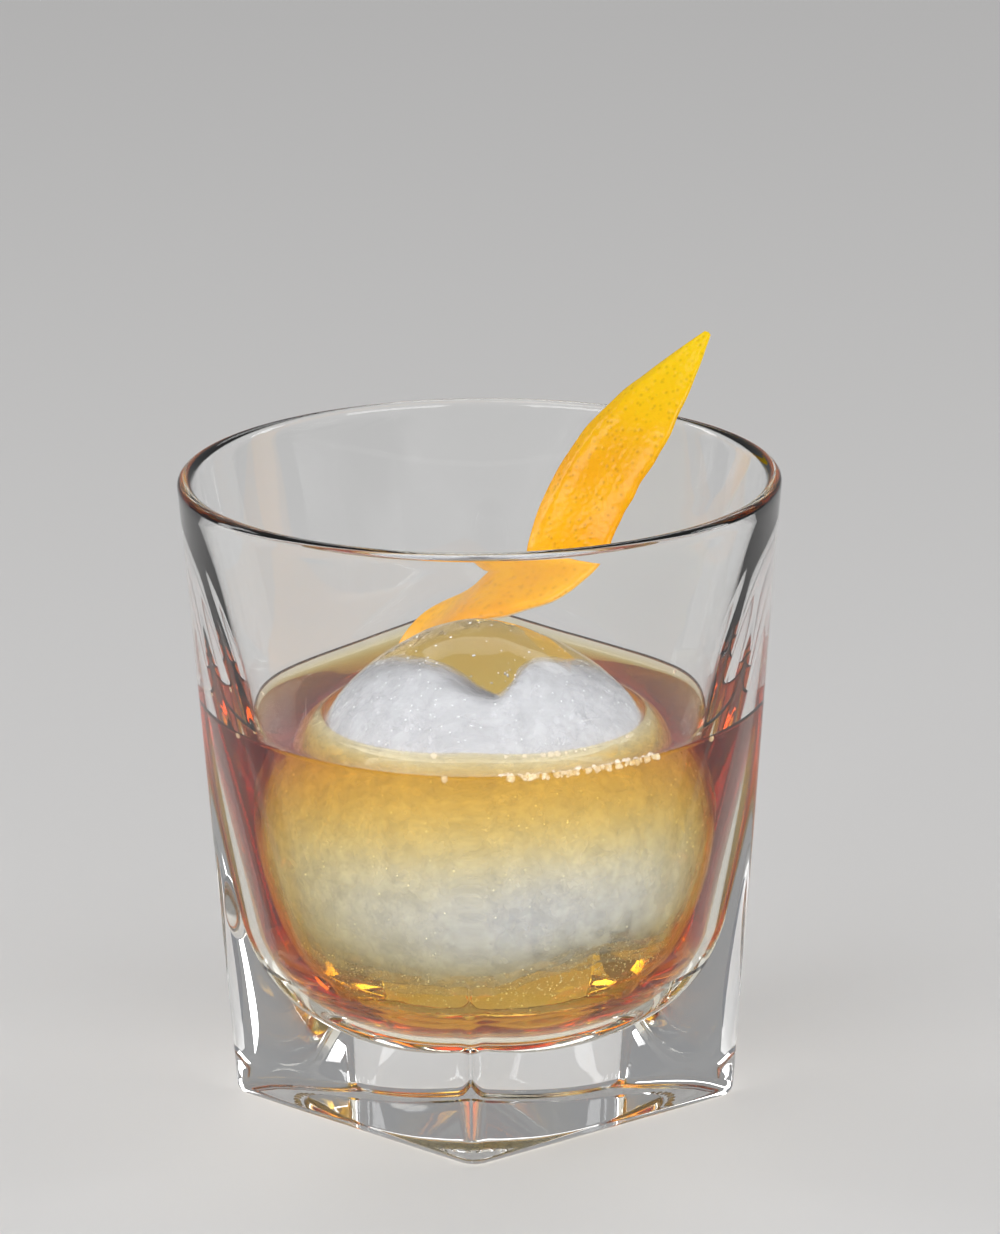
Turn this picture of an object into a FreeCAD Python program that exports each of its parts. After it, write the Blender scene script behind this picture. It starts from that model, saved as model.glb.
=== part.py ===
# Old fashioned cocktail: a heavy pressed tumbler with a square foot and a round
# rim, the drink, one large ball of ice and a strip of orange peel.
# Millimetres, +Z up. The origin is the middle of the foot on the table, with one
# corner of the square foot towards -Y.
import FreeCAD, Part
import math
import os

V = FreeCAD.Vector
os.makedirs("parts", exist_ok=True)

# ---------------------------------------------------------------- glass
rim_diameter = 92.0         # outside, over the lip
glass_height = 98.4
foot_side = 55.8            # flat to flat across the square foot
foot_diagonal = 76.0        # corner to corner across the foot
foot_corner_radius = 2.5    # of the square, in plan
corner_fade = 3.8           # how late the corners open out into the round rim
heel_radius = 1.6           # rounding round the bottom edge
lip_thickness = 2.3         # full round lip
recess_diameter = 44.0      # shallow hollow under the foot
recess_depth = 0.8

# ---------------------------------------------------------------- cavity
base_thickness = 12.6       # glass under the middle of the drink
cavity_knee_height = 25.5   # where the straight wall would meet the bowl
cavity_knee_diameter = 60.5
bowl_knee_radius = 15.0
bowl_floor_radius = 62.0    # dished floor

# ---------------------------------------------------------------- contents
fill_height = 61.0          # surface of the drink above the table
ball_diameter = 60.0
ball_forward = 2.3          # the peel behind it holds it off the middle, towards -Y
ball_right = 0.8
ball_film = 0.05            # of drink under the ball where it rests

# ---------------------------------------------------------------- orange peel
peel_width = 14.4
peel_thickness = 1.8
peel_end_width = 1.3        # the cut points are not quite sharp
peel_bow = 0.5              # how far the peel still curves across its width
peel_tip_taper = 24.0       # length over which the tip narrows
peel_foot_taper = 14.0      # the same at its foot, in the drink
peel_foot_rise = 14.0       # its foot above the middle of the ball
peel_foot_stand_off = 4.5   # and out from the widest part of the ball
peel_edge_share = 0.45       # of its width, from the ball out to the middle line
peel_ball_clearance = 0.45  # between the ball and the edge that rests on it
peel_bend_rise = 2.4        # where it bends, above the top of the ball
peel_bend_stand_off = 9.6   # and in from the wall
peel_straight_drop = 15.8   # where it runs straight again, below the rim
peel_straight_stand_off = 6.6
peel_rim_clearance = 0.3    # between its back and the rim it leans on
peel_lean_out = 7.0         # its tip outside the rim
peel_over_rim = 11.5        # its tip above the rim
peel_least_gap = 0.02       # nowhere nearer than this to the ball or the glass
peel_adjustment = 0.3       # step by which it is moved until it clears them
peel_stations = 12          # cross-sections along it

rim_radius = rim_diameter / 2
lip_radius = lip_thickness / 2
lip_centre_height = glass_height - lip_radius
inner_rim_radius = rim_radius - lip_thickness
ball_radius = ball_diameter / 2
ball_off_middle = math.hypot(ball_forward, ball_right)
ball_centre = V(ball_right, -ball_forward, base_thickness + bowl_floor_radius - math.sqrt(
    (bowl_floor_radius - ball_radius - ball_film) ** 2 - ball_off_middle ** 2))
wall_slope = ((inner_rim_radius - cavity_knee_diameter / 2)
              / (lip_centre_height - cavity_knee_height))


def polar(radius, degrees, height=0.0):
    """A point at a distance from the glass axis, an angle from +X and a height."""
    a = math.radians(degrees)
    return V(radius * math.cos(a), radius * math.sin(a), height)


def arc(start, middle, end):
    return Part.Arc(start, middle, end).toShape()


def cavity_radius(height):
    """Inside radius of the straight wall at a height."""
    return inner_rim_radius - wall_slope * (lip_centre_height - height)


# ---- outside of the glass: a rounded square that opens out into a circle.
# Each level is eight tangent arcs, four corners and four sides.
def outside_level(share):
    """Closed outline of the outside; share 0 is the foot, 1 the start of the lip."""
    height = share * lip_centre_height
    to_side = foot_side / 2 + share * (rim_radius - foot_side / 2)
    to_corner = foot_diagonal / 2 + share * (rim_radius - foot_diagonal / 2)
    corner_r = foot_corner_radius + (rim_radius - foot_corner_radius) * share ** corner_fade
    if share < 1:
        c = (to_corner - corner_r) / math.sqrt(2)
        side_r = ((corner_r ** 2 - c ** 2 - (c - to_side) ** 2)
                  / (2 * (c - to_side + corner_r)))
        lean = math.atan2(c, c - to_side + side_r)
        join = V(c + corner_r * math.cos(lean), c + corner_r * math.sin(lean), 0)
        join_radius = join.Length
        join_angle = 45 - math.degrees(math.atan2(join.y, join.x))
    else:
        join_radius, join_angle = rim_radius, 8.5
    edges = []
    for corner in (-90, 0, 90, 180):
        before = polar(join_radius, corner - join_angle, height)
        after = polar(join_radius, corner + join_angle, height)
        following = polar(join_radius, corner + 90 - join_angle, height)
        edges.append(arc(before, polar(to_corner, corner, height), after))
        edges.append(arc(after, polar(to_side, corner + 45, height), following))
    return Part.Wire(edges)


levels = [outside_level(share) for share in (0, 0.2, 0.4, 0.6, 0.75, 0.88, 1)]
outside = Part.makeLoft(levels, True, False)
foot_edges = [e for e in outside.Edges
              if e.BoundBox.ZMax < 0.01]
outside = outside.makeFillet(heel_radius, foot_edges)

# ---- inside of the glass: straight wall, round knee, dished floor, turned about Z.
wall_direction = V(wall_slope, 0, 1).normalize()
wall_inward = V(-wall_direction.z, 0, wall_direction.x)
wall_point = V(cavity_knee_diameter / 2, 0, cavity_knee_height)
floor_centre = V(0, 0, base_thickness + bowl_floor_radius)
# the knee's centre lies one knee radius inside the wall and inside the floor arc
on_line = wall_point + wall_inward * bowl_knee_radius
reach = bowl_floor_radius - bowl_knee_radius
from_floor = on_line - floor_centre
along = from_floor.dot(wall_direction)
knee_centre = on_line - wall_direction * (
    along + math.sqrt(along ** 2 - from_floor.dot(from_floor) + reach ** 2))
knee_top = knee_centre - wall_inward * bowl_knee_radius
knee_floor = floor_centre + (knee_centre - floor_centre).normalize() * bowl_floor_radius
knee_middle = knee_centre + ((knee_top - knee_centre) + (knee_floor - knee_centre)).normalize() \
    * bowl_knee_radius
floor_half = math.asin(knee_floor.x / bowl_floor_radius) / 2
floor_middle = floor_centre + V(math.sin(floor_half), 0, -math.cos(floor_half)) * bowl_floor_radius


def cavity_up_to(height):
    """The space inside the glass, from the floor to a height."""
    top = V(cavity_radius(height), 0, height)
    middle_top = V(0, 0, height)
    bottom = V(0, 0, base_thickness)
    outline = Part.Wire([
        arc(bottom, floor_middle, knee_floor),
        arc(knee_floor, knee_middle, knee_top),
        Part.makeLine(knee_top, top),
        Part.makeLine(top, middle_top),
        Part.makeLine(middle_top, bottom)])
    return Part.Face(outline).revolve(V(0, 0, 0), V(0, 0, 1), 360)


lip_profile = Part.Wire([
    arc(V(rim_radius, 0, lip_centre_height), V(rim_radius - lip_radius, 0, glass_height),
        V(inner_rim_radius, 0, lip_centre_height)),
    Part.makeLine(V(inner_rim_radius, 0, lip_centre_height),
                  V(rim_radius, 0, lip_centre_height))])
lip = Part.Face(lip_profile).revolve(V(0, 0, 0), V(0, 0, 1), 360)
recess = Part.makeCone(recess_diameter / 2, recess_diameter / 2 - recess_depth, recess_depth)

glass = outside.cut(cavity_up_to(lip_centre_height)).fuse(lip).cut(recess).removeSplitter()

# ---- ball of ice, resting on the dished floor
ice_ball = Part.makeSphere(ball_radius, ball_centre)

# ---- orange peel: a strip that rises from the drink behind the ball, rests on the
# ball's back, turns, and leans on the rim. Its middle line runs through six places;
# beside each is how far, in degrees, the zest faces up rather than to the axis.
def inside_wall(stand_off, degrees, height):
    """A place in from the straight wall of the cavity."""
    return polar(cavity_radius(height) - stand_off, degrees, height)


def peel_line_places(lift, draw_in):
    """The places of the middle line, raised off the ball and drawn in from the rim."""
    off_ball = (ball_radius + peel_thickness / 2 + peel_width * peel_edge_share
                + peel_ball_clearance + lift)
    climb = math.radians(44)
    # its straight back spans the hollow of the round rim
    rim_hollow = (peel_width / 2) ** 2 / (2 * inner_rim_radius)
    off_rim = peel_thickness / 2 + rim_hollow + peel_rim_clearance + draw_in
    return [
        (ball_centre + polar(ball_radius + peel_foot_stand_off + lift, 112.7, peel_foot_rise), 40),
        (ball_centre + polar(off_ball * math.cos(climb), 90, off_ball * math.sin(climb)), 86),
        (inside_wall(peel_bend_stand_off, 70, ball_centre.z + ball_radius + peel_bend_rise + lift),
         84),
        (inside_wall(peel_straight_stand_off, 67.5, lip_centre_height - peel_straight_drop), 38),
        (inside_wall(off_rim, 57, lip_centre_height), 27),
        (polar(rim_radius + peel_lean_out - draw_in, 50.9, glass_height + peel_over_rim), 25)]


def tilt_at(share, tilts):
    """The zest's tilt between the places of the middle line."""
    spot = (len(tilts) - 1) * share
    low = min(int(spot), len(tilts) - 2)
    ease = (1 - math.cos(math.pi * (spot - low))) / 2
    return tilts[low] * (1 - ease) + tilts[low + 1] * ease


def taper(distance, run):
    """Share of the full width, a distance in from a pointed end."""
    return 1 - max(0, 1 - distance / run) ** 1.6


def peel_section(line, tilts, share):
    """Closed outline of the strip across its middle line."""
    length = line.length()
    parameter = line.parameterAtDistance(share * length)
    at = line.value(parameter)
    ahead = V(*line.tangent(parameter)[0])
    tilt = math.radians(tilt_at(parameter / line.LastParameter, tilts))
    zest = V(at.x, at.y, 0).normalize() * -math.cos(tilt) + V(0, 0, math.sin(tilt))
    zest = (zest - ahead * zest.dot(ahead)).normalize()
    across = ahead.cross(zest)
    narrow = min(taper(share * length, peel_foot_taper),
                 taper((1 - share) * length, peel_tip_taper))
    half = (peel_end_width + (peel_width - peel_end_width) * narrow) / 2
    thick = peel_thickness * (0.35 + 0.65 * narrow)
    up = zest * (thick / 2)
    bow = zest * (peel_bow * (0.1 + 0.9 * narrow))
    left = at - across * (half - thick / 2)
    right = at + across * (half - thick / 2)
    return Part.Wire([
        arc(left + up, at + up + bow, right + up),
        arc(right + up, at + across * half, right - up),
        arc(right - up, at - up + bow, left - up),
        arc(left - up, at - across * half, left + up)])


def strip(lift, draw_in):
    places = peel_line_places(lift, draw_in)
    line = Part.BSplineCurve()
    line.interpolate([place for place, tilt in places])
    tilts = [tilt for place, tilt in places]
    return Part.makeLoft([peel_section(line, tilts, i / peel_stations)
                          for i in range(peel_stations + 1)], True, False)


# the peel is limp, so it lies as near to the ball and to the rim as they let it
lift = 0.0
draw_in = 0.0
orange_peel = strip(lift, draw_in)
while lift < peel_width and orange_peel.distToShape(ice_ball)[0] < peel_least_gap:
    lift += peel_adjustment
    orange_peel = strip(lift, draw_in)
while draw_in < peel_width and orange_peel.distToShape(glass)[0] < peel_least_gap:
    draw_in += peel_adjustment
    orange_peel = strip(lift, draw_in)

# ---- the drink fills the cavity to its surface, round the ball and the peel
drink = cavity_up_to(fill_height).cut(ice_ball).cut(orange_peel)

nodes = {"glass": glass, "drink": drink, "ice_ball": ice_ball, "orange_peel": orange_peel}
for name, shape in nodes.items():
    shape.exportStep("parts/%s.step" % name)
    print(name, shape.isValid(), len(shape.Solids), round(shape.Volume, 1))
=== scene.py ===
import math
import random

import bpy
import bmesh
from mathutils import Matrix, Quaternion, Vector, noise


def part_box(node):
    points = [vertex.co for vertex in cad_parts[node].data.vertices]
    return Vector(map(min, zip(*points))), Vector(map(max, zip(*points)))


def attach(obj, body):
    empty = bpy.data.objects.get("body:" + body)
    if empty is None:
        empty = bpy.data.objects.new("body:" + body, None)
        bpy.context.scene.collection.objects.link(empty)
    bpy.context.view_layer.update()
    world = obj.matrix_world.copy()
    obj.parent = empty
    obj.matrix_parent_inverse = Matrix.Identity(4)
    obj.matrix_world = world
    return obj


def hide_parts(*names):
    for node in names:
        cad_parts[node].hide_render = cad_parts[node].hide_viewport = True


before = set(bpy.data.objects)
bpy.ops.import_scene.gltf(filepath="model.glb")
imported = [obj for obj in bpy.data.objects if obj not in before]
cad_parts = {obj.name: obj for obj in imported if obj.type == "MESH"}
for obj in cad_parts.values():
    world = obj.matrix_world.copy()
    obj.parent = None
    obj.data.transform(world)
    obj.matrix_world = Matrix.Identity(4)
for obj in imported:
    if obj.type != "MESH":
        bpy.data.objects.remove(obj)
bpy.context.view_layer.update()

# An old fashioned: a heavy tumbler, the drink, one big ball of ice and a strip of orange
# peel. Metres, +Z up; one corner of the square foot points to -Y, towards the camera.
mm = 0.001


# ---------------------------------------------------------------- tumbler
# A double old fashioned glass of clear soda-lime glass, pressed in a mould in one piece.
# The outside goes from a square foot to a round, fire-polished rim; the inside is a plain
# turned bowl, so the corners and the foot are thick, solid glass.
rim_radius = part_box("glass")[1].x
glass_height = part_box("glass")[1].z
foot_half_side = 27.9 * mm
foot_half_diagonal = 38.0 * mm
foot_corner_radius = 2.5 * mm
corner_fade = 3.8
heel_radius = 1.6 * mm
lip_radius = 1.15 * mm
recess_radius = 22.0 * mm
recess_depth = 0.8 * mm
lip_height = glass_height - lip_radius
inner_rim_radius = rim_radius - 2 * lip_radius
floor_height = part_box("drink")[0].z
bowl_radius = 62.0 * mm
knee_radius = 15.0 * mm
mark_depth = 0.22 * mm
mark_count = 56
wall_foot = Vector((30.25 * mm, 25.5 * mm))
glass_segments = 320


def outside(share, turn):
    """Distance of the outer wall from the axis; share of the height, turn from a corner."""
    if share >= 1:
        return rim_radius
    side = foot_half_side + share * (rim_radius - foot_half_side)
    corner = foot_half_diagonal + share * (rim_radius - foot_half_diagonal)
    corner_arc = foot_corner_radius + (rim_radius - foot_corner_radius) * share ** corner_fade
    c = (corner - corner_arc) / math.sqrt(2)
    side_arc = (corner_arc ** 2 - c ** 2 - (c - side) ** 2) / (2 * (c - side + corner_arc))
    lean = math.atan2(c, c - side + side_arc)
    join = math.atan2(c + corner_arc * math.sin(lean), c + corner_arc * math.cos(lean))
    off = abs((turn + math.pi / 4) % (math.pi / 2) - math.pi / 4)
    if off < math.pi / 4 - join:
        centre, radius, angle = corner - corner_arc, corner_arc, off
    else:
        centre, radius, angle = side - side_arc, side_arc, math.pi / 4 - off
    along = centre * math.cos(angle)
    return along + math.sqrt(along ** 2 - centre ** 2 + radius ** 2)


def inside_profile(top, steps=44):
    """Points (radius, height) of the cavity, from the middle of its floor up to a height."""
    slope = Vector((inner_rim_radius, lip_height)) - wall_foot
    up = slope.normalized()
    inward = Vector((-up.y, up.x))
    floor_centre = Vector((0, floor_height + bowl_radius))
    start = wall_foot + inward * knee_radius
    from_floor = start - floor_centre
    along = from_floor.dot(up)
    reach = bowl_radius - knee_radius
    knee = start - up * (along + math.sqrt(along ** 2 - from_floor.length_squared + reach ** 2))
    knee_end = math.atan2(-inward.y, -inward.x)
    knee_start = math.atan2((knee - floor_centre).y, (knee - floor_centre).x)
    points = []
    for i in range(steps):
        angle = -math.pi / 2 + (knee_start + math.pi / 2) * i / steps
        points.append(floor_centre + Vector((math.cos(angle), math.sin(angle))) * bowl_radius)
    for i in range(steps):
        angle = knee_start + (knee_end - knee_start) * i / steps
        points.append(knee + Vector((math.cos(angle), math.sin(angle))) * knee_radius)
    wall_start = knee - inward * knee_radius
    for i in range(steps + 1):
        height = wall_start.y + (top - wall_start.y) * i / steps
        points.append(wall_start + up * ((height - wall_start.y) / up.y))
    return points


def ring(distance, height, segments=glass_segments):
    """Points round the axis; distance is a number or a function of the turn from +X."""
    points = []
    for i in range(segments):
        turn = 2 * math.pi * i / segments
        reach = distance(turn) if callable(distance) else distance
        rise = height(turn) if callable(height) else height
        points.append(Vector((reach * math.cos(turn), reach * math.sin(turn), rise)))
    return points


def skin(name, rings, first, last):
    """A closed smooth mesh over rings of points, with one point at each end."""
    count = len(rings[0])
    verts = [first] + [point for points in rings for point in points] + [last]
    faces = []
    for i in range(count):
        j = (i + 1) % count
        faces.append((0, 1 + j, 1 + i))
        for level in range(len(rings) - 1):
            a, b = 1 + level * count, 1 + (level + 1) * count
            faces.append((a + i, a + j, b + j, b + i))
        a = 1 + (len(rings) - 1) * count
        faces.append((a + i, a + j, len(verts) - 1))
    return finished(name, verts, faces)


def finished(name, verts, faces):
    """An object of the given mesh, its faces smooth and facing out."""
    mesh = bpy.data.meshes.new(name)
    mesh.from_pydata(verts, [], faces)
    shape = bmesh.new()
    shape.from_mesh(mesh)
    bmesh.ops.recalc_face_normals(shape, faces=shape.faces)
    shape.to_mesh(mesh)
    shape.free()
    for polygon in mesh.polygons:
        polygon.use_smooth = True
    piece = bpy.data.objects.new(name, mesh)
    bpy.context.scene.collection.objects.link(piece)
    return piece


def new_material(name):
    """A material with its node tree, its main shader and its output."""
    material = bpy.data.materials.new(name)
    material.use_nodes = True
    tree = material.node_tree
    return material, tree, tree.nodes["Principled BSDF"], tree.nodes["Material Output"]


def texture(tree, kind, **settings):
    """A texture node in the object's own coordinates."""
    place = tree.nodes.new("ShaderNodeTexCoord")
    node = tree.nodes.new(kind)
    for socket, value in settings.items():
        node.inputs[socket.replace("_", " ")].default_value = value
    tree.links.new(place.outputs["Object"], node.inputs["Vector"])
    return node


def bump(tree, shader, source, strength, distance):
    """Relief on a shader from a texture's value; joins on to relief already there."""
    node = tree.nodes.new("ShaderNodeBump")
    node.inputs["Strength"].default_value = strength
    node.inputs["Distance"].default_value = distance
    before = shader.inputs["Normal"].links
    if before:
        tree.links.new(before[0].from_socket, node.inputs["Normal"])
    tree.links.new(source, node.inputs["Height"])
    tree.links.new(node.outputs["Normal"], shader.inputs["Normal"])


def stipple(turn):
    """The moulded marks round the standing face, as a depth."""
    return mark_depth * max(0, math.sin(turn * mark_count)) ** 2


# From the middle of the underside outwards, up the outside, over the lip and down the bowl.
rings = [ring(recess_radius * share, recess_depth) for share in (0.2, 0.5, 0.8, 0.95)]
rings += [ring(recess_radius - 0.5 * mm, recess_depth * 0.7),
          ring(recess_radius - 0.1 * mm, recess_depth * 0.15),
          ring(recess_radius + 0.3 * mm, 0)]
rings += [ring(recess_radius + out * mm, stipple if 0.9 < out < 2.2 else 0)
          for out in (0.8, 1.0, 1.5, 2.0, 2.4)]
heel_inset = recess_radius + 3.0 * mm
for share in (0.3, 0.65, 1.0):
    rings.append(ring(lambda turn: heel_inset + share * (
        outside(0, turn) - heel_radius - heel_inset), 0))
for step in range(1, 8):
    angle = math.pi / 2 * step / 7
    rise = heel_radius * (1 - math.cos(angle))
    inset = heel_radius * (1 - math.sin(angle))
    rings.append(ring(lambda turn: outside(rise / lip_height, turn) - inset, rise))
for step in range(1, 67):
    share = (heel_radius + (lip_height - heel_radius) * step / 66) / lip_height
    rings.append(ring(lambda turn: outside(share, turn), share * lip_height))
for step in range(1, 14):
    angle = math.pi * step / 14
    rings.append(ring(rim_radius - lip_radius + lip_radius * math.cos(angle),
                      lip_height + lip_radius * math.sin(angle)))
for point in reversed(inside_profile(lip_height)[1:]):
    rings.append(ring(point.x, point.y))
tumbler = skin("tumbler", rings, Vector((0, 0, recess_depth)), Vector((0, 0, floor_height)))

clear_glass, tree, shader, _ = new_material("clear_glass")
shader.inputs["Base Color"].default_value = (0.995, 1.0, 0.998, 1)
shader.inputs["Roughness"].default_value = 0.0
shader.inputs["IOR"].default_value = 1.5
shader.inputs["Transmission Weight"].default_value = 1.0
mould_waves = texture(tree, "ShaderNodeTexNoise", Scale=55.0, Detail=1.0)
bump(tree, shader, mould_waves.outputs["Fac"], 0.10, 0.2 * mm)
tumbler.data.materials.append(clear_glass)
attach(tumbler, "root")
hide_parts("glass")


# ---------------------------------------------------------------- ball of ice
# One ball frozen in a round mould: clear skin, cloudy heart where the air was driven in,
# and a slightly melted surface, cut in a little at the level of the drink. It stands on
# the floor of the glass, because there is too little drink to float it.
ball_lo, ball_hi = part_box("ice_ball")
ball_radius = (ball_hi.z - ball_lo.z) / 2
ball_centre = (ball_lo + ball_hi) / 2
drink_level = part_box("drink")[1].z


def ice_reach(way):
    """Distance from the ball's middle to its wet, uneven surface in a direction."""
    melt = (0.30 + 0.22 * noise.noise(way * 2.3) + 0.10 * noise.noise(way * 7.0)) * mm
    over_level = way.z * ball_radius - (drink_level - ball_centre.z)
    melt += 0.35 * mm * math.exp(-(over_level / (1.6 * mm)) ** 2)
    melt *= min(1, (1 + way.z) * 6)
    return ball_radius - max(0, melt)


def around(height_angle, turn):
    """Direction from the ball's middle, by its angle over the level and its turn from +X."""
    flat = math.cos(height_angle)
    return Vector((flat * math.cos(turn), flat * math.sin(turn), math.sin(height_angle)))


def ball_ring(height_angle, reach, segments):
    """A ring of points on a ball-like surface, whose reach depends on the direction."""
    points = []
    for i in range(segments):
        way = around(height_angle, 2 * math.pi * i / segments)
        points.append(ball_centre + way * reach(way))
    return points


def ball_skin(name, reach, segments, levels):
    """A closed ball-like surface."""
    rings = [ball_ring(-math.pi / 2 + math.pi * i / levels, reach, segments)
             for i in range(1, levels)]
    down, up = Vector((0, 0, -1)), Vector((0, 0, 1))
    return skin(name, rings, ball_centre + down * reach(down), ball_centre + up * reach(up))


ice_skin = ball_skin("ice_ball_skin", ice_reach, 240, 150)
clear_ice, tree, shader, _ = new_material("clear_ice")
shader.inputs["Base Color"].default_value = (0.99, 0.995, 1.0, 1)
shader.inputs["Roughness"].default_value = 0.02
shader.inputs["IOR"].default_value = 1.31
shader.inputs["Specular Tint"].default_value = (0.3, 0.3, 0.3, 1)
shader.inputs["Transmission Weight"].default_value = 1.0
melt_ripple = texture(tree, "ShaderNodeTexNoise", Scale=160.0, Detail=3.0)
bump(tree, shader, melt_ripple.outputs["Fac"], 0.14, 0.25 * mm)
ice_skin.data.materials.append(clear_ice)
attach(ice_skin, "root")
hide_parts("ice_ball")


def lobe(way, towards, width):
    """1 in a direction, falling to 0 away from it."""
    apart = way.angle(Vector(towards))
    return math.exp(-(apart / width) ** 2)


def least(*shares):
    """The smallest of some numbers, rounded where two of them meet."""
    return -0.035 * math.log(sum(math.exp(-min(share, 3) / 0.035) for share in shares))


def heart_reach(way, spread=0.0):
    """Distance to the outside of the cloud, which follows the ball, but is cut off slanting
    and notched at the top and flat below; spread lowers the flat."""
    ball = 0.985 + 0.025 * noise.noise(way * 1.9 + Vector((4, 0, 0)))
    ball += 0.012 * noise.noise(way * 5)
    up = way.dot(Vector((0, 0.527, 0.85)))
    notch_width = 0.15 + 0.35 * max(0, way.y)
    notch = 0.22 * math.exp(-((way.x + 0.02) / notch_width) ** 2)
    top = 0.67 + 0.09 * abs(way.x) - notch + 0.05 * noise.noise(way * 4.5)
    clear_corner = 0.20 * lobe(way, (0.62, -0.60, -0.50), 0.50)
    floor = 0.52 + spread - clear_corner
    floor += 0.035 * noise.noise(way * 4.2) + 0.02 * noise.noise(way * 11)
    shares = [ball]
    if up > 0.05:
        shares.append(top / up)
    if way.z < -0.05:
        shares.append(floor / -way.z)
    return ball_radius * least(*shares)


# The cloud thins outwards, so it is a dense heart inside thinner and thinner veils. Under the
# drink its colour has a painted blue tint, which offsets the brown the drink gives its light.
for index, (depth, thin, thick) in enumerate((
        (0.90, 1.0, 1.0), (0.93, 0.25, 0.70), (0.96, 0.12, 0.50), (0.985, 0.0, 0.34))):
    veil = ball_skin("ice_cloud_%d" % index,
                     lambda way: heart_reach(way, 0.04 * index) * depth, 160, 110)
    cloud, tree, shader, _ = new_material("ice_cloud_%d" % index)
    shader.inputs["Roughness"].default_value = 0.9
    shader.inputs["IOR"].default_value = 1.31
    streaks = texture(tree, "ShaderNodeTexNoise", Scale=110.0 + 60 * index, Detail=6.0,
                      Roughness=0.6)
    tint = tree.nodes.new("ShaderNodeValToRGB")
    tint.color_ramp.elements[0].position = 0.30
    tint.color_ramp.elements[0].color = (0.54, 0.54, 0.56, 1)
    tint.color_ramp.elements[1].position = 0.60
    tint.color_ramp.elements[1].color = (0.66, 0.66, 0.68, 1)
    tree.links.new(streaks.outputs["Fac"], tint.inputs["Fac"])
    # Painted blue tint under the drink, offsetting the drink's brown on the light; the ice itself
    # is not bluer there.
    painted_cool_offset = tree.nodes.new("ShaderNodeMix")
    painted_cool_offset.data_type = "RGBA"
    painted_cool_offset.blend_type = "MULTIPLY"
    painted_cool_offset.inputs["B"].default_value = (0.94, 1.0, 1.22, 1)
    under = tree.nodes.new("ShaderNodeAttribute")
    under.attribute_name = "under_drink"
    tree.links.new(under.outputs["Fac"], painted_cool_offset.inputs["Factor"])
    tree.links.new(tint.outputs["Color"], painted_cool_offset.inputs["A"])
    tree.links.new(painted_cool_offset.outputs["Result"], shader.inputs["Base Color"])
    # Mask of the painted blue tint: 0 near the drink's level, 1 well under it.
    wet = veil.data.attributes.new("under_drink", "FLOAT", "POINT")
    for vert in veil.data.vertices:
        down = (drink_level - 5 * mm - vert.co.z) / (11 * mm)
        wet.data[vert.index].value = max(0, min(1, down))
    if thick < 1:
        cover = tree.nodes.new("ShaderNodeMapRange")
        cover.inputs["From Min"].default_value = 0.35
        cover.inputs["From Max"].default_value = 0.65
        cover.inputs["To Min"].default_value = thin
        cover.inputs["To Max"].default_value = thick
        tree.links.new(streaks.outputs["Fac"], cover.inputs["Value"])
        tree.links.new(cover.outputs["Result"], shader.inputs["Alpha"])
    veil.data.materials.append(cloud)
    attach(veil, "root")


def specks(name, places, sides=1):
    """Many small balls in one mesh; places are (centre, radius)."""
    seed = bmesh.new()
    bmesh.ops.create_icosphere(seed, subdivisions=sides, radius=1)
    unit = [vert.co.copy() for vert in seed.verts]
    corners = [[vert.index for vert in face.verts] for face in seed.faces]
    seed.free()
    verts, faces = [], []
    for centre, radius in places:
        first = len(verts)
        verts += [centre + point * radius for point in unit]
        faces += [[first + corner for corner in face] for face in corners]
    return finished(name, verts, faces)


# Fine bubbles caught outside the heart, thickest in a band low on the ball.
caught_count = 2600
chance = random.Random(7)
caught = []
while len(caught) < caught_count:
    way = around(math.asin(chance.uniform(-1, 1)), chance.uniform(0, 2 * math.pi))
    low_band = math.exp(-((way.z + 0.68) / 0.13) ** 2)
    top_band = math.exp(-((way.z - 0.80) / 0.14) ** 2)
    if chance.random() > 0.03 + 0.9 * low_band + 0.10 * top_band:
        continue
    inner = heart_reach(way) * 0.97
    outer = ice_reach(way) - 0.8 * mm
    if outer > inner:
        reach = chance.uniform(inner, outer)
        caught.append((ball_centre + way * reach, chance.uniform(0.05, 0.17) * mm))
ice_bubbles = specks("ice_bubbles", caught)
frost, tree, shader, _ = new_material("ice_bubble_white")
shader.inputs["Base Color"].default_value = (0.9, 0.91, 0.93, 1)
shader.inputs["Roughness"].default_value = 0.3
grain = texture(tree, "ShaderNodeTexNoise", Scale=900.0)
bump(tree, shader, grain.outputs["Fac"], 0.2, 0.05 * mm)
ice_bubbles.data.materials.append(frost)
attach(ice_bubbles, "root")


# ---------------------------------------------------------------- drink
# Whiskey with bitters and a little melt water, poured round the ball to about two thirds
# of the glass. It wets the wall and the ice, so it climbs a little at both, and it
# reaches just into the glass and the ice, so that no gap of air shows.
wetting = 0.15 * mm
climb = 1.1 * mm
climb_width = 1.3 * mm
surface_steps = 27
ice_steps = 80
level_way = (drink_level - ball_centre.z) / ball_radius
level_radius = ball_radius * math.sqrt(1 - level_way ** 2)
wall_radius = inside_profile(drink_level)[-1].x
drink_segments = 240

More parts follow.
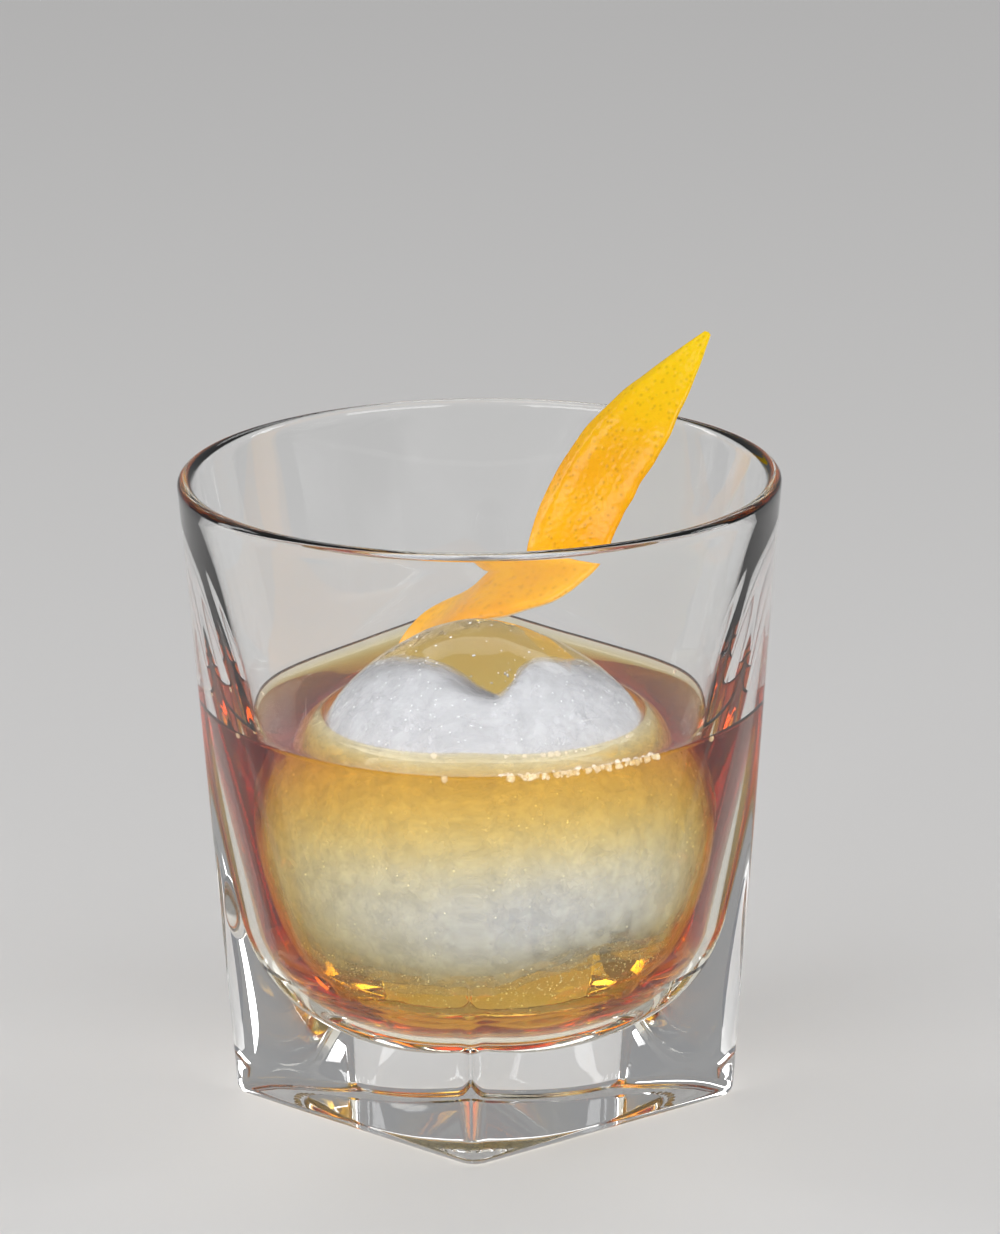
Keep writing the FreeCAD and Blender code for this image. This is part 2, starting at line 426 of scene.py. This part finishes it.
# Up the wall, over the surface to the ice, and down round the ball.
rings = []
for point in inside_profile(drink_level + climb)[1:]:
    rings.append(ring(point.x + wetting, point.y - wetting * (point.y < floor_height + 9 * mm),
                      drink_segments))
for step in range(surface_steps):
    share = (step + 0.2) / (surface_steps - 0.6)
    points = []
    for i in range(drink_segments):
        turn = 2 * math.pi * i / drink_segments
        at_wall = Vector((math.cos(turn), math.sin(turn), 0)) * wall_radius
        at_ice = Vector((math.cos(turn), math.sin(turn), 0)) * level_radius
        at_ice += Vector((ball_centre.x, ball_centre.y, 0))
        place = at_wall.lerp(at_ice, share)
        gap = (at_ice - at_wall).length
        place.z = drink_level + climb * math.exp(-gap * share / climb_width)
        place.z += 0.8 * climb * math.exp(-gap * (1 - share) / climb_width)
        points.append(place)
    rings.append(points)
ice_edge = math.asin(level_way + 0.5 * climb / ball_radius)
for step in range(ice_steps):
    angle = ice_edge + (-math.pi / 2 - ice_edge) * step / ice_steps
    rings.append(ball_ring(angle, lambda way: ice_reach(way) - wetting, drink_segments))
drink = skin("drink_body", rings, Vector((0, 0, floor_height - wetting)),
             ball_centre - Vector((0, 0, ball_radius - wetting)))

# The drink hardly reflects where it wets glass or ice, so its mirror tint is off.
whiskey, tree, shader, output = new_material("whiskey")
shader.inputs["Base Color"].default_value = (1.0, 1.0, 1.0, 1)
shader.inputs["Roughness"].default_value = 0.0
shader.inputs["IOR"].default_value = 1.355
shader.inputs["Specular Tint"].default_value = (0, 0, 0, 1)
shader.inputs["Transmission Weight"].default_value = 1.0
colour = tree.nodes.new("ShaderNodeVolumeAbsorption")
colour.inputs["Color"].default_value = (0.945, 0.765, 0.01, 1)
colour.inputs["Density"].default_value = 290.0
tree.links.new(colour.outputs["Volume"], output.inputs["Volume"])
swirl = texture(tree, "ShaderNodeTexNoise", Scale=40.0, Detail=1.0)
bump(tree, shader, swirl.outputs["Fac"], 0.03, 0.2 * mm)
drink.data.materials.append(whiskey)
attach(drink, "root")
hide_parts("drink")

# Small bubbles gather where the drink meets the wall in front, and a few round the ice.
# Their places are turns from +X in degrees.
foam = []
for _ in range(120):
    turn = math.radians(-84 + 42 * chance.random() ** 1.25)
    size = chance.uniform(0.16, 0.42) * mm
    reach = wall_radius - size - chance.uniform(0.0, 0.9) * mm
    foam.append((Vector((reach * math.cos(turn), reach * math.sin(turn),
                         drink_level + 0.1 * mm + chance.uniform(0, 0.8) * mm)), size))
for degrees, size in ((-102, 0.6), (-84, 0.35), (-77, 0.45), (-70, 0.5), (-67, 0.6),
                      (-64.5, 0.6), (-61, 0.35), (-57, 0.3), (-53, 0.3), (-30, 0.4)):
    turn = math.radians(degrees)
    reach = level_radius + 0.5 * mm
    foam.append((Vector((ball_centre.x + reach * math.cos(turn),
                         ball_centre.y + reach * math.sin(turn),
                         drink_level + 0.5 * mm)), size * mm))
for degrees in (-95, -60, -22, -160, 35, 170):
    turn = math.radians(degrees)
    reach = wall_radius - 0.6 * mm
    foam.append((Vector((reach * math.cos(turn), reach * math.sin(turn),
                         drink_level + 0.4 * mm)), 0.5 * mm))
drink_bubbles = specks("drink_bubbles", foam, 2)
film, tree, shader, _ = new_material("bubble_film")
shader.inputs["Base Color"].default_value = (0.92, 0.86, 0.77, 1)
shader.inputs["Roughness"].default_value = 0.0
shader.inputs["IOR"].default_value = 1.33
shader.inputs["Transmission Weight"].default_value = 0.76
film_grain = texture(tree, "ShaderNodeTexNoise", Scale=500.0)
bump(tree, shader, film_grain.outputs["Fac"], 0.05, 0.05 * mm)
drink_bubbles.data.materials.append(film)
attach(drink_bubbles, "root")


# ---------------------------------------------------------------- orange peel
# A strip cut from a fresh orange with a knife, pointed at both ends: pored, oily zest on
# the front and a thin layer of pale pith behind. It stands in the drink behind the ball,
# lies over the ball's back, turns and leans on the rim.
peel_width = 14.4 * mm
peel_thickness = 1.8 * mm
peel_end_width = 1.3 * mm
peel_bow = 0.5 * mm
tip_taper = 24.0 * mm
foot_taper = 14.0 * mm
foot_stand_off = 4.5 * mm
foot_rise = 14.0 * mm
peel_edge_share = 0.45
ball_clearance = 0.45 * mm
ball_climb = math.radians(44)
bend_rise = 2.4 * mm
bend_stand_off = 9.6 * mm
straight_drop = 15.8 * mm
straight_stand_off = 6.6 * mm
rim_clearance = 0.3 * mm
lean_out = 7.0 * mm
over_rim = 11.5 * mm


def wall_at(height):
    """Inside radius of the glass at a height on its straight wall."""
    share = (height - wall_foot.y) / (lip_height - wall_foot.y)
    return wall_foot.x + share * (inner_rim_radius - wall_foot.x)


def spot(reach, degrees, height):
    """A place by its distance from the axis, its turn from +X and its height."""
    turn = math.radians(degrees)
    return Vector((reach * math.cos(turn), reach * math.sin(turn), height))


# Places on the middle line from foot to tip, each with the zest's tilt upwards in degrees.
bend_at = ball_hi.z + bend_rise
straight_at = lip_height - straight_drop
off_ball = ball_radius + peel_thickness / 2 + peel_edge_share * peel_width + ball_clearance
rim_hollow = (peel_width / 2) ** 2 / (2 * inner_rim_radius)
off_rim = peel_thickness / 2 + rim_hollow + rim_clearance
peel_places = [
    (ball_centre + spot(ball_radius + foot_stand_off, 112.7, foot_rise), 40),
    (ball_centre + spot(off_ball * math.cos(ball_climb), 90, off_ball * math.sin(ball_climb)), 86),
    (spot(wall_at(bend_at) - bend_stand_off, 70, bend_at), 84),
    (spot(wall_at(straight_at) - straight_stand_off, 67.5, straight_at), 38),
    (spot(inner_rim_radius - off_rim, 57, lip_height), 27),
    (spot(rim_radius + lean_out, 50.9, glass_height + over_rim), 25)]


def smooth_line(points, steps):
    """Evenly spaced places and directions on a natural cubic through the points."""
    knots = [0.0]
    for a, b in zip(points, points[1:]):
        knots.append(knots[-1] + (b - a).length)
    count = len(points)
    bends = [Vector((0, 0, 0)) for _ in points]
    lower, right = [0.0] * count, [Vector((0, 0, 0)) for _ in points]
    for i in range(1, count - 1):
        before, after = knots[i] - knots[i - 1], knots[i + 1] - knots[i]
        turn = 6 * ((points[i + 1] - points[i]) / after - (points[i] - points[i - 1]) / before)
        pivot = 2 * (before + after) - before * lower[i - 1]
        lower[i] = after / pivot
        right[i] = (turn - before * right[i - 1]) / pivot
    for i in range(count - 2, 0, -1):
        bends[i] = right[i] - lower[i] * bends[i + 1]

    def at(knot):
        """The place on the curve at a knot value."""
        i = min(max(k for k in range(count - 1) if knots[k] <= knot + 1e-12), count - 2)
        gap = knots[i + 1] - knots[i]
        a, b = (knots[i + 1] - knot) / gap, (knot - knots[i]) / gap
        return (a * points[i] + b * points[i + 1] + ((a ** 3 - a) * bends[i]
                + (b ** 3 - b) * bends[i + 1]) * gap ** 2 / 6)

    fine = [at(knots[-1] * i / 2000) for i in range(2001)]
    lengths = [0.0]
    for a, b in zip(fine, fine[1:]):
        lengths.append(lengths[-1] + (b - a).length)
    line, k = [], 0
    for i in range(steps + 1):
        target = lengths[-1] * i / steps
        while k < 1999 and lengths[k + 1] < target:
            k += 1
        part = (target - lengths[k]) / (lengths[k + 1] - lengths[k])
        knot_share = (k + part) / 2000
        line.append((fine[k].lerp(fine[k + 1], part), (fine[k + 1] - fine[k]).normalized(),
                     knot_share * knots[-1]))
    return line, lengths[-1], knots


def narrowing(distance, run):
    """Share of the full width at a distance from a pointed end that narrows over a run."""
    return 1 - max(0, 1 - distance / run) ** 1.6


def eased_tilt(knot, knots):
    """The zest's tilt upwards between the places of the middle line."""
    share = knot / knots[-1] * (len(peel_places) - 1)
    low = min(int(share), len(peel_places) - 2)
    ease = (1 - math.cos(math.pi * (share - low))) / 2
    return math.radians(peel_places[low][1] * (1 - ease) + peel_places[low + 1][1] * ease)


# Each ring of points goes over the zest from edge to edge and back over the pith.
stations = 300
across_steps = 60
pore_spacing = 1.15 * mm
tip_extension = 0.3 * mm
line, peel_length, knots = smooth_line([place for place, tilt in peel_places], stations)
rings, layers = [], []
for i, (at, ahead, knot) in enumerate(line):
    distance = peel_length * i / stations
    tilt = eased_tilt(knot, knots)
    out = Vector((at.x, at.y, 0)).normalized()
    zest = out * -math.cos(tilt) + Vector((0, 0, math.sin(tilt)))
    zest = (zest - ahead * zest.dot(ahead)).normalized()
    side = ahead.cross(zest)
    narrow = min(narrowing(distance, foot_taper), narrowing(peel_length - distance, tip_taper))
    half = (peel_end_width + (peel_width - peel_end_width) * narrow) / 2
    thick = peel_thickness * (0.35 + 0.65 * narrow)
    bow = peel_bow * (0.1 + 0.9 * narrow)
    knife = 0.35 * mm * narrow * noise.noise(Vector((distance / (5 * mm), 0.3, 0)))
    knife_other = 0.45 * mm * narrow * noise.noise(Vector((distance / (4 * mm), 7.3, 0)))
    crest = 0.45 * mm * narrow * max(0, min(1, (at.z - ball_hi.z - 4 * mm) / (8 * mm)))
    points = []
    for j in range(across_steps + 1):
        s = -1 + 2 * j / across_steps
        reach = s * half + (knife if s < 0 else knife_other) * abs(s)
        edge = math.sqrt(max(0, 1 - abs(s) ** 7))
        pore = noise.voronoi(Vector((reach, distance, 0)) / pore_spacing)[0][0]
        dimple = 0.10 * mm * max(0, 1 - pore * 2.4) * edge
        swell = 0.10 * mm * noise.noise(Vector((reach / (4 * mm), distance / (6 * mm), 2)))
        swell += crest * math.exp(-((s + 0.60) / 0.20) ** 2)
        points.append((at + side * reach + zest * (thick / 2 * edge + bow * (1 - s * s)
                                                   - dimple + swell * edge), 0.0))
    for j in range(across_steps - 1, 0, -1):
        s = -1 + 2 * j / across_steps
        reach = s * half + (knife if s < 0 else knife_other) * abs(s)
        edge = math.sqrt(max(0, 1 - abs(s) ** 7))
        fibre = 0.06 * mm * noise.noise(Vector((reach / (0.9 * mm), distance / (1.6 * mm), 5)))
        points.append((at + side * reach + zest * (-thick / 2 * edge + bow * (1 - s * s)
                                                   + fibre * edge), 1.0))
    rings.append([point for point, layer in points])
    layers += [layer for point, layer in points]
peel = skin("orange_peel_strip", rings, line[0][0] - line[0][1] * tip_extension,
            line[-1][0] + line[-1][1] * tip_extension)
pith_layer = peel.data.attributes.new("pith", "FLOAT", "POINT")
for vert in range(len(peel.data.vertices)):
    known = 0 < vert < len(peel.data.vertices) - 1
    pith_layer.data[vert].value = layers[vert - 1] if known else 0.5
ripeness = peel.data.attributes.new("along", "FLOAT", "POINT")
for vert in peel.data.vertices:
    ripeness.data[vert.index].value = max(0.2, min(1, (vert.co.z / mm - 84) / 24))

peel_look, tree, shader, _ = new_material("orange_zest_and_pith")
blush = texture(tree, "ShaderNodeTexNoise", Scale=90.0, Detail=3.0)
zest_colour = tree.nodes.new("ShaderNodeValToRGB")
zest_colour.color_ramp.elements[0].position = 0.32
zest_colour.color_ramp.elements[0].color = (0.74, 0.245, 0.001, 1)
zest_colour.color_ramp.elements[1].position = 0.66
zest_colour.color_ramp.elements[1].color = (0.82, 0.36, 0.001, 1)
tree.links.new(blush.outputs["Fac"], zest_colour.inputs["Fac"])
pores = texture(tree, "ShaderNodeTexVoronoi", Scale=900.0)
pore_dark = tree.nodes.new("ShaderNodeMapRange")
pore_dark.inputs["From Max"].default_value = 0.35
pore_dark.inputs["To Min"].default_value = 0.72
pore_dark.inputs["To Max"].default_value = 1.0
tree.links.new(pores.outputs["Distance"], pore_dark.inputs["Value"])
# Towards the tip the zest is riper yellow.
along = tree.nodes.new("ShaderNodeAttribute")
along.attribute_name = "along"
ripe = tree.nodes.new("ShaderNodeMix")
ripe.data_type = "RGBA"
ripe.inputs["B"].default_value = (0.86, 0.57, 0.001, 1)
tree.links.new(along.outputs["Fac"], ripe.inputs["Factor"])
tree.links.new(zest_colour.outputs["Color"], ripe.inputs["A"])
spotted = tree.nodes.new("ShaderNodeVectorMath")
spotted.operation = "SCALE"
tree.links.new(ripe.outputs["Result"], spotted.inputs[0])
tree.links.new(pore_dark.outputs["Result"], spotted.inputs["Scale"])
layer = tree.nodes.new("ShaderNodeAttribute")
layer.attribute_name = "pith"
both = tree.nodes.new("ShaderNodeMix")
both.data_type = "RGBA"
both.inputs["B"].default_value = (0.93, 0.80, 0.50, 1)
tree.links.new(layer.outputs["Fac"], both.inputs["Factor"])
tree.links.new(spotted.outputs["Vector"], both.inputs["A"])
tree.links.new(both.outputs["Result"], shader.inputs["Base Color"])
shader.inputs["Roughness"].default_value = 0.27
shader.inputs["Specular IOR Level"].default_value = 0.25
shader.inputs["Subsurface Weight"].default_value = 0.15
shader.inputs["Subsurface Radius"].default_value = (1.2, 0.5, 0.1)
shader.inputs["Subsurface Scale"].default_value = 0.8 * mm
shader.inputs["Coat Weight"].default_value = 0.04
shader.inputs["Coat Roughness"].default_value = 0.2
bump(tree, shader, pores.outputs["Distance"], 0.5, 0.15 * mm)
peel.data.materials.append(peel_look)
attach(peel, "root")
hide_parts("orange_peel")


# ---------------------------------------------------------------- table, light and camera
# A plain pale table top, soft boxes all round and above, and a long lens that looks down a
# little. Grey flags, which only the glass sees, draw its edges.
scene = bpy.context.scene
bpy.ops.mesh.primitive_plane_add(size=8)
table = bpy.context.object
table.name = "table_top"
pale, tree, shader, _ = new_material("pale_table")
shader.inputs["Base Color"].default_value = (0.67, 0.66, 0.65, 1)
shader.inputs["Roughness"].default_value = 0.6
table.data.materials.append(pale)

world = bpy.data.worlds.new("studio")
scene.world = world
world.use_nodes = True
world.node_tree.nodes["Background"].inputs["Color"].default_value = (0.97, 0.98, 1.0, 1)
world.node_tree.nodes["Background"].inputs["Strength"].default_value = 0.28


def soft_box(name, place, width, height, power, aim=(0, 0, 0.05)):
    """A rectangular area light turned to the glass."""
    light = bpy.data.lights.new(name, "AREA")
    light.shape = "RECTANGLE"
    light.size, light.size_y, light.energy = width, height, power
    lamp = bpy.data.objects.new(name, light)
    scene.collection.objects.link(lamp)
    lamp.location = place
    lamp.rotation_euler = (Vector(aim) - Vector(place)).to_track_quat("-Z", "Y").to_euler()


soft_box("box_front_left", (-0.95, -1.20, 0.75), 1.2, 0.8, 14)
soft_box("box_front_right", (0.95, -1.20, 0.75), 1.2, 0.8, 14)
soft_box("box_left", (-0.80, 0.25, 0.35), 0.15, 0.6, 1.4)
soft_box("box_right", (0.85, 0.20, 0.35), 0.15, 0.6, 1.4)
soft_box("box_above", (-0.25, -0.10, 1.0), 0.4, 0.4, 1.0)
soft_box("box_back", (0.10, 1.30, 1.15), 1.0, 0.5, 3)
# What is clear lets the light of the boxes through to the cloud, the peel and the table.
for piece in (tumbler, drink, ice_skin, drink_bubbles):
    piece.visible_shadow = False

dark, tree, shader, _ = new_material("grey_flag")
shader.inputs["Base Color"].default_value = (0.20, 0.21, 0.23, 1)
shader.inputs["Roughness"].default_value = 1.0
for name, place, turn in (("flag_left", (-0.55, 0.35, 0.20), 55),
                          ("flag_right", (0.57, 0.35, 0.20), -55)):
    bpy.ops.mesh.primitive_plane_add(size=1)
    flag = bpy.context.object
    flag.name = name
    flag.scale = (0.30, 0.50, 1)
    flag.location = place
    flag.rotation_euler = (math.radians(90), 0, math.radians(turn))
    flag.data.materials.append(dark)
    flag.visible_camera = flag.visible_diffuse = flag.visible_shadow = False

camera_data = bpy.data.cameras.new("camera")
camera = bpy.data.objects.new("camera", camera_data)
scene.collection.objects.link(camera)
scene.camera = camera
camera_data.sensor_width = 36
camera_data.lens = 477
camera_data.clip_end = 50
around_glass, above = math.radians(2.83), math.radians(16.31)
roll = math.radians(-0.53)
camera_distance = 2.5
middle = Vector((0, 0, 48 * mm))
back = Vector((math.sin(around_glass) * math.cos(above),
               -math.cos(around_glass) * math.cos(above), math.sin(above)))
right = Vector((math.cos(around_glass), math.sin(around_glass), 0))
aim = middle + right * 2.95 * mm + back.cross(right) * 26.8 * mm
camera.location = middle + back * camera_distance
camera.rotation_mode = "QUATERNION"
level_view = (aim - camera.location).to_track_quat("-Z", "Y")
camera.rotation_quaternion = level_view @ Quaternion((0, 0, 1), roll)

scene.view_settings.view_transform = "Standard"
scene.cycles.max_bounces = 40
scene.cycles.transmission_bounces = 32
scene.cycles.glossy_bounces = 10
scene.cycles.diffuse_bounces = 16
scene.cycles.transparent_max_bounces = 200
